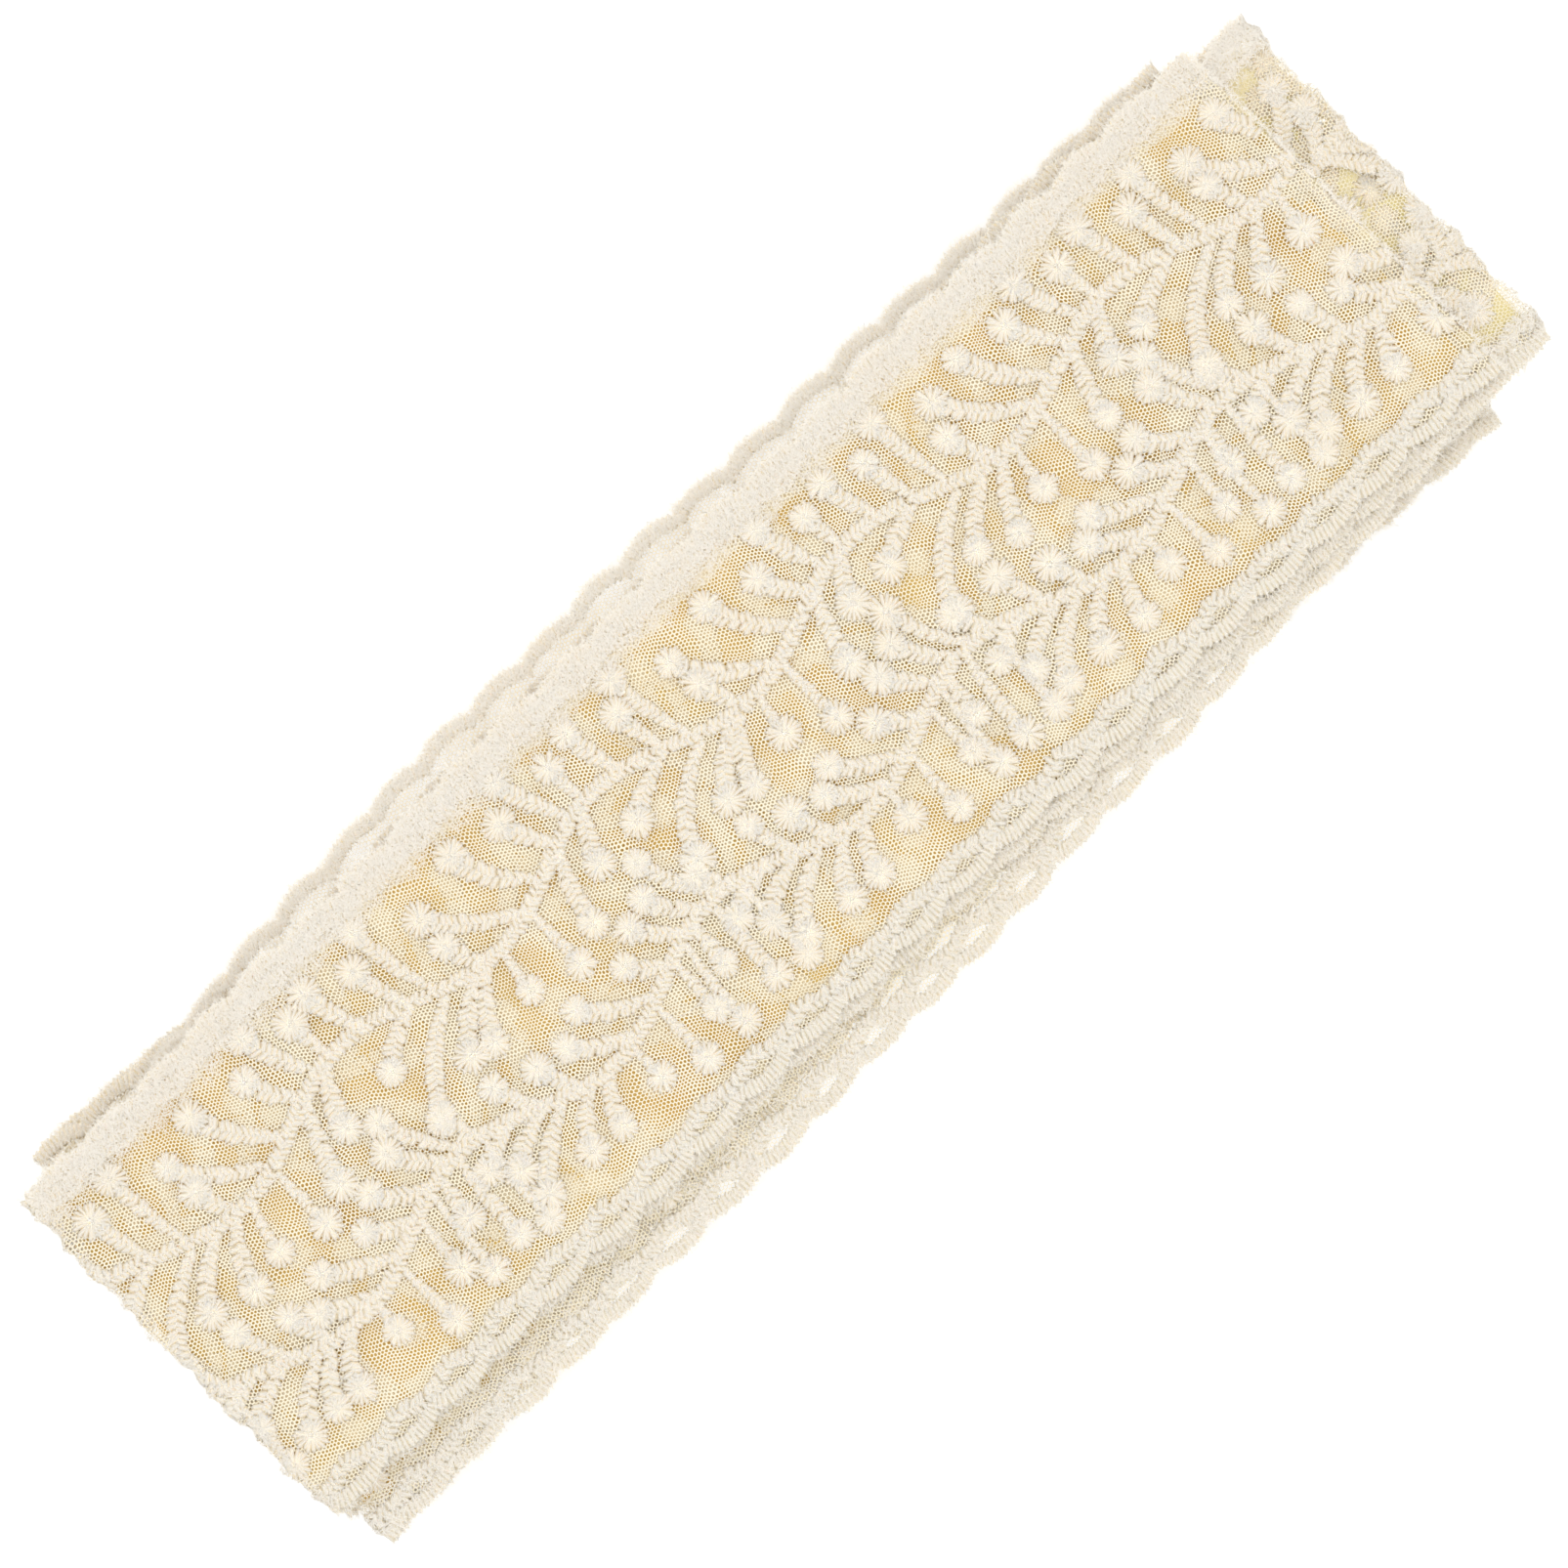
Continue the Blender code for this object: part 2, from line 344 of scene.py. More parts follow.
def folded(along, across):
    """Where points of the flat strip lie once the strip is folded, as an array of x, y, z."""
    places = np.empty((len(along), 3))
    which = stretch_of(along)
    for number, (kind, index, start, end) in enumerate(STRETCHES):
        here = np.flatnonzero(which == number)
        if not len(here):
            continue
        a, c = along[here], across[here]
        share = (a - start) / (end - start)
        from_x, to_x = straight_ends(index, c)
        if kind == "length":
            x = from_x + (to_x - from_x) * share
            y = c + slip(LENGTHS[index], x)
            z = level(index, x, c, y)
        else:
            y = c + slip(LENGTHS[index], to_x)
            low, high = level(index, to_x, c, y), level(index + 1, to_x, c, y)
            turn = math.pi * share
            side = math.copysign(1.0, to_x[0] - from_x[0])
            x = to_x + side * FOLD_ROUNDNESS * FOLD_RADIUS * np.sin(turn)
            z = (low + high) / 2 - (high - low) / 2 * np.cos(turn)
        places[here] = np.column_stack((x, y, z))
    return places


# Small unevenness of the real cloth: (length of the wave, height, turn)
PUCKERS = ((0.0211, 0.00010, 0.4), (0.0087, 0.00007, 2.0))
PUCKER_SLANT = 40            # radians for each metre across the strip
WEAVES = ((0.0530, 0.00030, 1.1), (0.0180, 0.00012, 0.3))
FOLD_WOBBLE = 0.00045        # how far a fold stands out, in waves across the strip:
FOLD_WAVES = ((1.0, 370, 1.7), (0.7, 910, 2.9), (0.5, 1730, 4.1))  # (share, radians a metre, turn)
NORMAL_STEP = 0.0002         # to the places on each side that tell which way the cloth faces


def bulge(along, across):
    """How far the folds' outer faces stand out unevenly."""
    out = np.zeros(len(along))
    for kind, index, start, end in STRETCHES:
        if kind == "fold":
            here = (along > start) & (along < end)
            turn = math.pi * (along[here] - start) / (end - start)
            wave = sum(
                share * np.sin(rate * across[here] + shift * index)
                for share, rate, shift in FOLD_WAVES
            )
            out[here] = FOLD_WOBBLE * np.sin(turn) * wave
    return out


def cloth(along, across, height):
    """Strip coordinates to places in the folded bundle."""
    edge = (across / HALF_WIDTH) ** 2
    height = height + bulge(along, across)
    for length, depth, turn in PUCKERS:
        height = height + depth * edge * np.sin(
            2 * math.pi * along / length + turn + PUCKER_SLANT * across
        )
    for length, reach, turn in WEAVES:
        across = across + reach * edge * np.sin(2 * math.pi * along / length + turn)
    middle = folded(along, across)
    run = folded(along + NORMAL_STEP, across) - folded(along - NORMAL_STEP, across)
    width = folded(along, across + NORMAL_STEP) - folded(along, across - NORMAL_STEP)
    normal = np.cross(run, width)
    normal /= np.linalg.norm(normal, axis=1)[:, None]
    return middle + normal * height[:, None]


def edge_of(along):
    """How far the scalloped edge reaches from the strip's middle line."""
    crest = np.abs(np.sin(math.pi * along / SCALLOP_PITCH)) ** SCALLOP_FULLNESS
    return HALF_WIDTH - SCALLOP_DEPTH * (1 - crest)


COVER = 0.0015               # a length hides what lies at least this far inside its outline


def covered(along, across):
    """Which places on the strip lie under another length, and which lie over one."""
    which = stretch_of(along)
    beneath, above = np.zeros(len(along), bool), np.zeros(len(along), bool)
    for number, (kind, index, _, _) in enumerate(STRETCHES):
        here = np.flatnonzero(which == number)
        if not len(here) or kind == "fold":
            continue
        x, y, _ = folded(along[here], across[here]).T
        for other, length in enumerate(LENGTHS):
            inside = (
                (np.abs(y - slip(length, x)) < HALF_WIDTH - SCALLOP_DEPTH - COVER)
                & (x > length.left + FOLD_INSET + COVER)
                & (x < length.right - FOLD_INSET - COVER)
            )
            if other > index:
                beneath[here] |= inside
            if other < index:
                above[here] |= inside
    return beneath, above


def outer_face(along):
    """1 where the strip's right side looks up or out, -1 where its wrong side does."""
    return np.where(stretch_of(along) % 4 % 3 == 0, 1.0, -1.0)


# Stitches. A stitch is a small closed lump of thread: it runs from one tip to the other in strip
# coordinates and has two rings of points in between.
RING_TURNS = ((1.0, 0.0), (0.0, 1.0), (-1.0, 0.0), (0.0, -1.0))
WRONG_SIDE = -0.00022        # how far stitches reach through the net to its wrong side
LOW_SIDE = 0.35              # height of a stitch's sides, over its own lift
PLY_SHIFT = 0.3              # how far plies slip over a stitch's back, over its thickness


class Stitches:
    """Stitches gathered up as rows of numbers, one row a stitch."""

    def __init__(self):
        self.rows = []

    def add(self, tip, end, widths, rings, lifts, thick):
        """Adds stitches from tip to end (N x 2 arrays). widths are half widths at the two rings,
        rings are their shares of the length, and lifts are heights at tip, rings and end."""
        count = len(tip)
        columns = [tip, end]
        for value in (*widths, *rings, *lifts, thick):
            columns.append(np.broadcast_to(value, count)[:, None])
        self.rows.append(np.hstack(columns))

    def all(self):
        """Every row so far, cut to what lies on the strip."""
        rows = np.vstack(self.rows)
        low = np.minimum(rows[:, 0], rows[:, 2])
        high = np.maximum(rows[:, 0], rows[:, 2])
        return rows[(low > 0.0) & (high < STRIP_LENGTH)]


def middles(rows):
    """Middle of each stitch, along and across."""
    return (rows[:, 0] + rows[:, 2]) / 2, (rows[:, 1] + rows[:, 3]) / 2


def mesh_of(name, points, faces, uv):
    """A mesh from arrays: faces is a list of (count of corners, index array) and uv is per point."""
    mesh = bpy.data.meshes.new(name)
    corners = np.concatenate([f.ravel() for f in faces]).astype(np.int32)
    totals = np.concatenate([np.full(len(f), f.shape[1]) for f in faces]).astype(np.int32)
    starts = np.concatenate(([0], np.cumsum(totals)[:-1])).astype(np.int32)
    mesh.vertices.add(len(points))
    mesh.vertices.foreach_set("co", points.astype(np.float32).ravel())
    mesh.loops.add(len(corners))
    mesh.loops.foreach_set("vertex_index", corners)
    mesh.polygons.add(len(totals))
    mesh.polygons.foreach_set("loop_start", starts)
    layer = mesh.uv_layers.new(name="cloth")
    layer.uv.foreach_set("vector", uv[corners].astype(np.float32).ravel())
    mesh.update(calc_edges=True)
    mesh.shade_smooth()
    if mesh.validate():
        raise RuntimeError(f"{name} had faulty faces")
    return mesh


def piece(name, mesh, material):
    """Puts a mesh in the scene as one piece on the bundle."""
    made = bpy.data.objects.new(name, mesh)
    bpy.context.scene.collection.objects.link(made)
    mesh.materials.append(material)
    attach(made, "root")
    return made


def stitched(name, rows, material):
    """One piece made of the given stitches, carried through the folds."""
    tip, end = rows[:, 0:2], rows[:, 2:4]
    widths, rings, lifts, thick = rows[:, 4:6], rows[:, 6:8], rows[:, 8:12], rows[:, 12]
    run = end - tip
    length = np.linalg.norm(run, axis=1)
    side = np.column_stack((-run[:, 1], run[:, 0])) / length[:, None]
    count = len(rows)
    flat = np.empty((count, 10, 3))
    uv = np.empty((count, 10, 2))
    flat[:, 0, :2], flat[:, 0, 2] = tip, lifts[:, 0]
    flat[:, 9, :2], flat[:, 9, 2] = end, lifts[:, 3]
    uv[:, 0], uv[:, 9] = 0.0, np.column_stack((length, np.zeros(count)))
    for ring in (0, 1):
        centre = tip + run * rings[:, ring, None]
        for turn, (out, up) in enumerate(RING_TURNS):
            point = 1 + 4 * ring + turn
            flat[:, point, :2] = centre + side * (out * widths[:, ring])[:, None]
            if up < 0:
                flat[:, point, 2] = WRONG_SIDE
            else:
                lift = lifts[:, 1 + ring]
                flat[:, point, 2] = lift + thick if up else lift * LOW_SIDE
            uv[:, point, 0] = length * rings[:, ring]
            uv[:, point, 1] = out * widths[:, ring] + (PLY_SHIFT * thick if up else 0.0)
    points = cloth(flat[..., 0].ravel(), flat[..., 1].ravel(), flat[..., 2].ravel())
    base = 10 * np.arange(count)[:, None]
    turns = [(k, (k + 1) % 4) for k in range(4)]
    caps = [base + np.array([0, 1 + b, 1 + a]) for a, b in turns]
    caps += [base + np.array([9, 5 + a, 5 + b]) for a, b in turns]
    sides = [base + np.array([1 + a, 1 + b, 5 + b, 5 + a]) for a, b in turns]
    faces = [np.vstack(caps), np.vstack(sides)]
    return piece(name, mesh_of(name, points, faces, uv.reshape(-1, 2)), material)


def along_path(points, pitch):
    """Places, directions and shares of the whole way, every pitch along a polyline."""
    steps = np.linalg.norm(np.diff(points, axis=0), axis=1)
    run = np.concatenate(([0.0], np.cumsum(steps)))
    stops = np.arange(pitch / 2, run[-1], pitch)
    places = np.column_stack([np.interp(stops, run, points[:, k]) for k in (0, 1)])
    ahead = np.column_stack([np.interp(stops + pitch / 4, run, points[:, k]) for k in (0, 1)])
    behind = np.column_stack([np.interp(stops - pitch / 4, run, points[:, k]) for k in (0, 1)])
    heading = ahead - behind
    return places, heading / np.linalg.norm(heading, axis=1)[:, None], stops / run[-1]


def vine_line(which, x):
    """Height of a vine over the strip's middle line at x, in the chart's millimetres."""
    vine = VINES[which]
    return vine.middle + vine.height * np.cos(2 * math.pi * (x - vine.crest) / REPEAT)


def repeats():
    """Number of each repeat that touches the strip."""
    pitch = REPEAT * MM
    last = math.ceil((STRIP_LENGTH - CHART_START) / pitch)
    return range(math.floor(-CHART_START / pitch), last + 1)


def to_strip(x, y):
    """Chart millimetres to metres along and across the strip."""
    return np.column_stack((CHART_START + np.asarray(x) * MM, np.asarray(y) * MM))


# How the sprays vary: millimetres of the chart, shares of a leaflet's bow and of a dot's radius
BACK_SPREAD, OUT_SPREAD, ROOT_SPREAD = 0.7, 0.6, 0.5
BOWS = (0.62, 0.86)
OUT_BOW = 0.35
DOT_SCALES = (0.86, 1.10)
VINE_POINTS, LEAFLET_POINTS = 64, 24
LEAFLET_START = 0.06         # share of a leaflet's way that its vine hides


def spray_lines(random):
    """Every vine and every spray of the whole strip as lines, and the sprays' dots."""
    vines, leaflets, dots = [], [], []
    for number in repeats():
        shift = REPEAT * number
        for which in VINES:
            x = shift + np.linspace(0.0, REPEAT, VINE_POINTS)
            vines.append(to_strip(x, vine_line(which, x)))
        for (which, side), sprays in SPRAYS.items():
            for spray in sprays:
                back = spray.back + random.normal(0, BACK_SPREAD)
                out = side * (spray.out + random.normal(0, OUT_SPREAD))
                x0 = shift + spray.root + random.normal(0, ROOT_SPREAD)
                y0 = vine_line(which, x0)
                t = np.linspace(LEAFLET_START, 1.0, LEAFLET_POINTS)
                bow = random.uniform(*BOWS)
                x = x0 - back * (2 * t * (1 - t) * bow + t * t)
                y = y0 + out * (2 * t * (1 - t) * OUT_BOW + t * t)
                leaflets.append((to_strip(x, y), spray.width))
                dots.append((*to_strip(x[-1:], y[-1:])[0], random.uniform(*DOT_SCALES)))
    return vines, leaflets, np.array(dots)


FULL_WIDTH_AT = 0.45         # share of a leaflet's way where it has widened out
PLAIT_JITTER = 0.12          # of a stitch along a plait, over the pitch
STITCH_BODY = 0.55           # thickness of a stitch on its lift


def plait(stitches, line, root, width, sizes, random):
    """Two rows of slanting stitches along a line, as in a plait. root is its width where it starts
    over its full width, and width that over a full leaflet's."""
    for side, delay in ((1, 0.0), (-1, 0.5)):
        places, heading, share = along_path(line, sizes.leaf_pitch)
        count = len(places)
        fullness = width * (root + (1 - root) * np.minimum(1.0, share / FULL_WIDTH_AT))[:, None]
        delays = (delay + random.normal(0, PLAIT_JITTER, count)) * sizes.leaf_pitch
        places = places + heading * delays[:, None]
        out = np.column_stack((-heading[:, 1], heading[:, 0])) * side
        reach = sizes.leaf_width / 2 * fullness * random.uniform(0.82, 1.14, count)[:, None]
        slant = random.uniform(0.35, 0.95, count)[:, None] * sizes.leaf_pitch
        tip = places - out * reach * 0.25 - heading * slant * 0.5
        end = places + out * reach + heading * slant
        half = sizes.leaf_pitch * random.uniform(0.48, 0.72, count)
        top = sizes.lift * random.uniform(0.6, 1.15, count)
        stitches.add(tip, end, (half, half * 0.95), (0.28, 0.74),
                     (top * 0.7, top * 0.75, top * 0.5, 0.0), sizes.lift * STITCH_BODY)


def rosette(stitches, dots, sizes, random):
    """Round dots of radial stitches."""
    for along, across, scale in dots:
        count = sizes.dot_stitches + random.integers(-1, 2)
        angle = (np.arange(count) + random.uniform(0, 1)) * 2 * math.pi / count
        angle = angle + random.normal(0, 0.05, count)
        way = np.column_stack((np.cos(angle), np.sin(angle)))
        radius = sizes.dot_radius * scale * random.uniform(0.88, 1.06, count)[:, None]
        centre = np.array([along, across])
        top = sizes.lift * random.uniform(0.9, 1.15, count)
        width = sizes.dot_radius * random.uniform(0.115, 0.145, count)
        stitches.add(centre - way * radius * 0.06, centre + way * radius, (width * 0.8, width),
                     (0.30, 0.80), (top * 0.9, top * 0.95, top * 0.60, -0.1 * top),
                     sizes.lift * STITCH_BODY)
        knot = sizes.dot_radius * random.uniform(0.24, 0.30)
        for turn in (angle[0], angle[0] + math.pi / 2):
            reach = np.array([[math.cos(turn), math.sin(turn)]]) * knot
            low, high = top[:1] * 0.8, top[:1] * 1.1
            stitches.add(centre - reach, centre + reach, (knot * 0.45, knot * 0.45), (0.3, 0.7),
                         (low, high, high, low), sizes.lift * STITCH_BODY)


def satin(stitches, line, width, sizes, random):
    """Close stitches straight across a line."""
    places, heading, _ = along_path(line, sizes.satin_pitch)
    count = len(places)
    lean = random.normal(0.12, 0.07, count)[:, None]
    out = np.column_stack((-heading[:, 1], heading[:, 0])) + heading * lean
    reach = width / 2 * random.uniform(0.86, 1.1, (2, count))[..., None]
    half = sizes.satin_pitch * random.uniform(0.54, 0.70, count)
    top = sizes.lift * random.uniform(0.45, 0.75, count)
    stitches.add(places - out * reach[0], places + out * reach[1], (half, half), (0.2, 0.8),
                 (0.0, top, top, 0.0), sizes.lift * 0.5)


def on_stitches(rows, nearest, random):
    """A place on each stitch, from the given share of its length on."""
    share = random.uniform(nearest, 1.0, len(rows))[:, None]
    return rows[:, 0:2] + (rows[:, 2:4] - rows[:, 0:2]) * share


def any_way(count, random):
    """Directions all round."""
    return random.uniform(0, 2 * math.pi, count)


def fibres(name, root, turn, share, settings, random):
    """One piece of short loose fibres from the given places, in the given directions: bent slivers
    of two faces each. share is their length over a usual one's."""
    sizes, colours = settings
    count = len(root)
    bend = turn + random.normal(0, 0.7, count)
    reach = random.gamma(4.0, 0.25, count) * (sizes.fibre_length * share)
    rise = random.uniform(0.3, 1.0, count) * sizes.lift * 1.4
    way = np.column_stack((np.cos(turn), np.sin(turn)))
    late = np.column_stack((np.cos(bend), np.sin(bend)))
    side = np.column_stack((-way[:, 1], way[:, 0])) * sizes.fibre_width / 2
    middle = root + way * (reach * 0.5)[:, None]
    tip = middle + late * (reach * 0.5)[:, None]
    low = np.full(count, sizes.lift * 0.7)
    flat = np.empty((count, 5, 3))
    for point, (place, height) in enumerate((
        (root - side, low), (root + side, low), (middle + side, low + rise),
        (middle - side, low + rise), (tip, low + rise * 0.8),
    )):
        flat[:, point, :2], flat[:, point, 2] = place, height
    flat[..., 2] *= outer_face(root[:, 0])[:, None]
    points = cloth(flat[..., 0].ravel(), flat[..., 1].ravel(), flat[..., 2].ravel())
    base = 5 * np.arange(count)[:, None]
    faces = [base + np.array([0, 1, 2, 3]), base + np.array([3, 2, 4])]
    mesh = mesh_of(name, points, faces, np.zeros((5 * count, 2)))
    piece(name, mesh, thread_material("cream_fibres", colours))


# Where the upper edges that show are rubbed soft: from and to along the strip, width, fibres
FELTS = (
    (TOP_START, STRIP_LENGTH, 0.0088, 30000),
    (*PAST_CUT, 0.0080, 2400),
    (*UPPERMOST, 0.0042, 12000),
)
SPRAY_FIBRES = 4             # on each stitch
BORDER_FIBRES = {"border_bands": 5, "border_cords": 8}
HAZE_FIBRES = 120000         # over all the edges, before those inside the bundle are left out
HAZE_WIDTH = 0.0085
FOLD_FIBRES = 1200           # on each fold
END_FIBRES = 900             # on the top length's cut end
END_FRAY = 0.0006            # how far in from the cut they start


# The bands: how far in they run from the strip's widest, and how far they dip in under a scallop
BORDER_STEP = SCALLOP_PITCH / 24
UPPER_INSET, UPPER_RISE = 0.0064, 0.0004
FELTED_INSET, FELTED_RISE = 0.0052, 0.0012   # of the upper band on the top length
LOWER_INSET, LOWER_RISE = 0.0049, 0.0014
UPPER_BAND = 0.45            # width of the upper band over the lower one's
FILL_INSET, FILL_SWAY, FILL_RATE, FILL_BAND = 0.0041, 0.0003, 260, 0.85  # the row under the felt


def border_lines(sizes):
    """The straight band and the scalloped cord along both edges."""
    along = np.arange(0.0, STRIP_LENGTH, BORDER_STEP)
    bands, cords = [], []
    felted = along > TOP_START
    for side, inset, rise in (
        (1, np.where(felted, FELTED_INSET, UPPER_INSET), np.where(felted, FELTED_RISE, UPPER_RISE)),
        (-1, LOWER_INSET, LOWER_RISE),
    ):
        arch = np.abs(np.sin(math.pi * along / SCALLOP_PITCH)) ** 4
        bands.append(np.column_stack((along, side * (HALF_WIDTH - inset - rise * arch))))
        cords.append(np.column_stack((along, side * (edge_of(along) - sizes.cord_width / 2))))
    return bands, cords


# Materials

def group(name, inputs, outputs):
    """A new shader node group with its sockets: (socket type, name, default)."""
    tree = bpy.data.node_groups.new(name, "ShaderNodeTree")
    for kind, label, default in inputs:
        socket = tree.interface.new_socket(label, in_out="INPUT", socket_type=kind)
        if default is not None:
            socket.default_value = default
    for kind, label in outputs:
        tree.interface.new_socket(label, in_out="OUTPUT", socket_type=kind)
    return tree, tree.nodes.new("NodeGroupInput"), tree.nodes.new("NodeGroupOutput")


def math_node(tree, operation, first, second=None, third=None):
    """A Math node fed by sockets or numbers, and its output."""
    node = tree.nodes.new("ShaderNodeMath")
    node.operation = operation
    for socket, value in zip(node.inputs, (first, second, third)):
        if isinstance(value, bpy.types.NodeSocket):
            tree.links.new(value, socket)
        elif value is not None:
            socket.default_value = value
    return node.outputs[0]


def mixed(tree, share, first, second):
    """A colour Mix node fed by sockets or colours, and its output."""
    node = tree.nodes.new("ShaderNodeMix")
    node.data_type = "RGBA"
    for label, value in ((0, share), (6, first), (7, second)):
        if isinstance(value, bpy.types.NodeSocket):
            tree.links.new(value, node.inputs[label])
        else:
            node.inputs[label].default_value = value
    return node.outputs[2]


def clamped(tree, value, most=1.0):
    """A value held from 0 to the given most by Math nodes."""
    return math_node(tree, "MINIMUM", math_node(tree, "MAXIMUM", value, 0.0), most)


def noise(tree, place, scale, detail, output="Fac"):
    """A Noise node on the given place, and its output."""
    node = tree.nodes.new("ShaderNodeTexNoise")
    node.inputs["Scale"].default_value = scale
    node.inputs["Detail"].default_value = detail
    tree.links.new(place, node.inputs["Vector"])
    return node.outputs[output]


def cloth_place(tree):
    """Strip coordinates as a shader's place."""
    node = tree.nodes.new("ShaderNodeUVMap")
    node.uv_map = "cloth"
    return node.outputs["UV"]


# The cotton's pattern: how fine its noises are, for each metre, and how they are mixed
FUZZ_SCALE, PATCH_SCALE, SPECK_SCALE = 3600.0, 60.0, 900.0
FUZZ_HEIGHT, PLY_HEIGHT = 0.8, 0.35
PLY_SLANT = 0.35
PATCHES = (1.6, -0.45)       # (contrast, offset)
SPECKS = (0.8, -0.4)
# Painted shade: how fast the colour turns to the side colour, from a stitch's back out to its sides
SIDE_SHADE_RAMP = (2600.0, -0.35)      # from a stitch's back out to its sides, for each metre
ROUGH_SPECKS = 0.14


def cotton_group():
    """Spun cotton: colour that varies, fine plies along each stitch, a soft fuzz and painted shade on
    the stitches' sides.
    """
    tree, given, result = group(
        "spun_cotton",
        (
            ("NodeSocketColor", "Colour", (0.8, 0.8, 0.8, 1)),
            ("NodeSocketColor", "Shade", (0.7, 0.7, 0.7, 1)),
            ("NodeSocketColor", "Side", (0.6, 0.6, 0.6, 1)),
            ("NodeSocketFloat", "Side share", 1.0),
            ("NodeSocketFloat", "Ply width", 0.00022),
            ("NodeSocketFloat", "Roughness", 0.85),
        ),
        (
            ("NodeSocketColor", "Colour"),
            ("NodeSocketFloat", "Roughness"),
            ("NodeSocketFloat", "Height"),
        ),
    )
    place = tree.nodes.new("ShaderNodeTexCoord").outputs["Object"]
    split = tree.nodes.new("ShaderNodeSeparateXYZ")
    tree.links.new(cloth_place(tree), split.inputs[0])
    twist = math_node(tree, "MULTIPLY_ADD", split.outputs["X"], PLY_SLANT, split.outputs["Y"])
    turn = math_node(tree, "DIVIDE", twist, given.outputs["Ply width"])
    ply = math_node(tree, "SINE", math_node(tree, "MULTIPLY", turn, 2 * math.pi))
    fuzz = noise(tree, place, FUZZ_SCALE, 0.0)
    plies = math_node(tree, "MULTIPLY", ply, PLY_HEIGHT)
    height = math_node(tree, "MULTIPLY_ADD", fuzz, FUZZ_HEIGHT, plies)
    tree.links.new(height, result.inputs["Height"])
    patches = noise(tree, place, PATCH_SCALE, 1.0)
    specks = noise(tree, place, SPECK_SCALE, 0.0)
    blend = math_node(tree, "ADD", math_node(tree, "MULTIPLY_ADD", patches, *PATCHES),
                      math_node(tree, "MULTIPLY_ADD", specks, *SPECKS))
    back = mixed(tree, clamped(tree, blend), given.outputs["Colour"], given.outputs["Shade"])
    # Painted shade: away from a stitch's middle line the colour turns to the side colour, for the
    # shade between stitches.
    off_middle = math_node(tree, "ABSOLUTE", split.outputs["Y"])
    down = math_node(tree, "MULTIPLY_ADD", off_middle, *SIDE_SHADE_RAMP)
    down = clamped(tree, down, given.outputs["Side share"])
    tree.links.new(mixed(tree, down, back, given.outputs["Side"]), result.inputs["Colour"])
    rough = math_node(tree, "MULTIPLY_ADD", specks, ROUGH_SPECKS, given.outputs["Roughness"])
    tree.links.new(rough, result.inputs["Roughness"])
    return tree


# What is the same all over a material, by its shader's sockets
COTTON = {"Specular IOR Level": 0.25, "Sheen Weight": 0.25, "Sheen Roughness": 0.6}
SOAKED = {
    "Subsurface Weight": 0.5, "Subsurface Radius": (1.0, 0.8, 0.45), "Subsurface Scale": 0.0006,
    "Sheen Weight": 0.12, "Specular IOR Level": 0.1,
}
BUMP = {"Strength": 0.5, "Distance": 0.00006}


def set_all(node, values):
    """Sets a node's sockets by name."""
    for label, value in values.items():
        node.inputs[label].default_value = value


def cotton(name, tint, shade, side=None):
    """A matte cotton material built on the spun cotton group. Stitches also get painted shade on
    their sides.
    """
    made = bpy.data.materials.new(name)
    made.use_nodes = True
    tree = made.node_tree
    shader = tree.nodes["Principled BSDF"]
    spun = tree.nodes.new("ShaderNodeGroup")
    spun.node_tree = bpy.data.node_groups.get("spun_cotton") or cotton_group()
    set_all(spun, {
        "Colour": (*tint, 1), "Shade": (*shade, 1), "Side": (*(side or shade), 1),
        "Side share": 1.0 if side else 0.0,
    })
    bump = tree.nodes.new("ShaderNodeBump")
    set_all(bump, BUMP)
    tree.links.new(spun.outputs["Height"], bump.inputs["Height"])
    tree.links.new(bump.outputs["Normal"], shader.inputs["Normal"])
    tree.links.new(spun.outputs["Colour"], shader.inputs["Base Color"])
    tree.links.new(spun.outputs["Roughness"], shader.inputs["Roughness"])
    set_all(shader, COTTON)
    return made


# The net's pattern: what pulls its meshes askew and how their openness varies
DRIFT_SCALE, DRIFT_REACH = 300.0, (0.0009, 0.0009, 0.0)
OPEN_SCALE = 110.0
OPENNESS = (-2.0, 0.92)      # (contrast, offset)
THREAD_EDGE = 2.5            # how sharply a mesh's thread ends


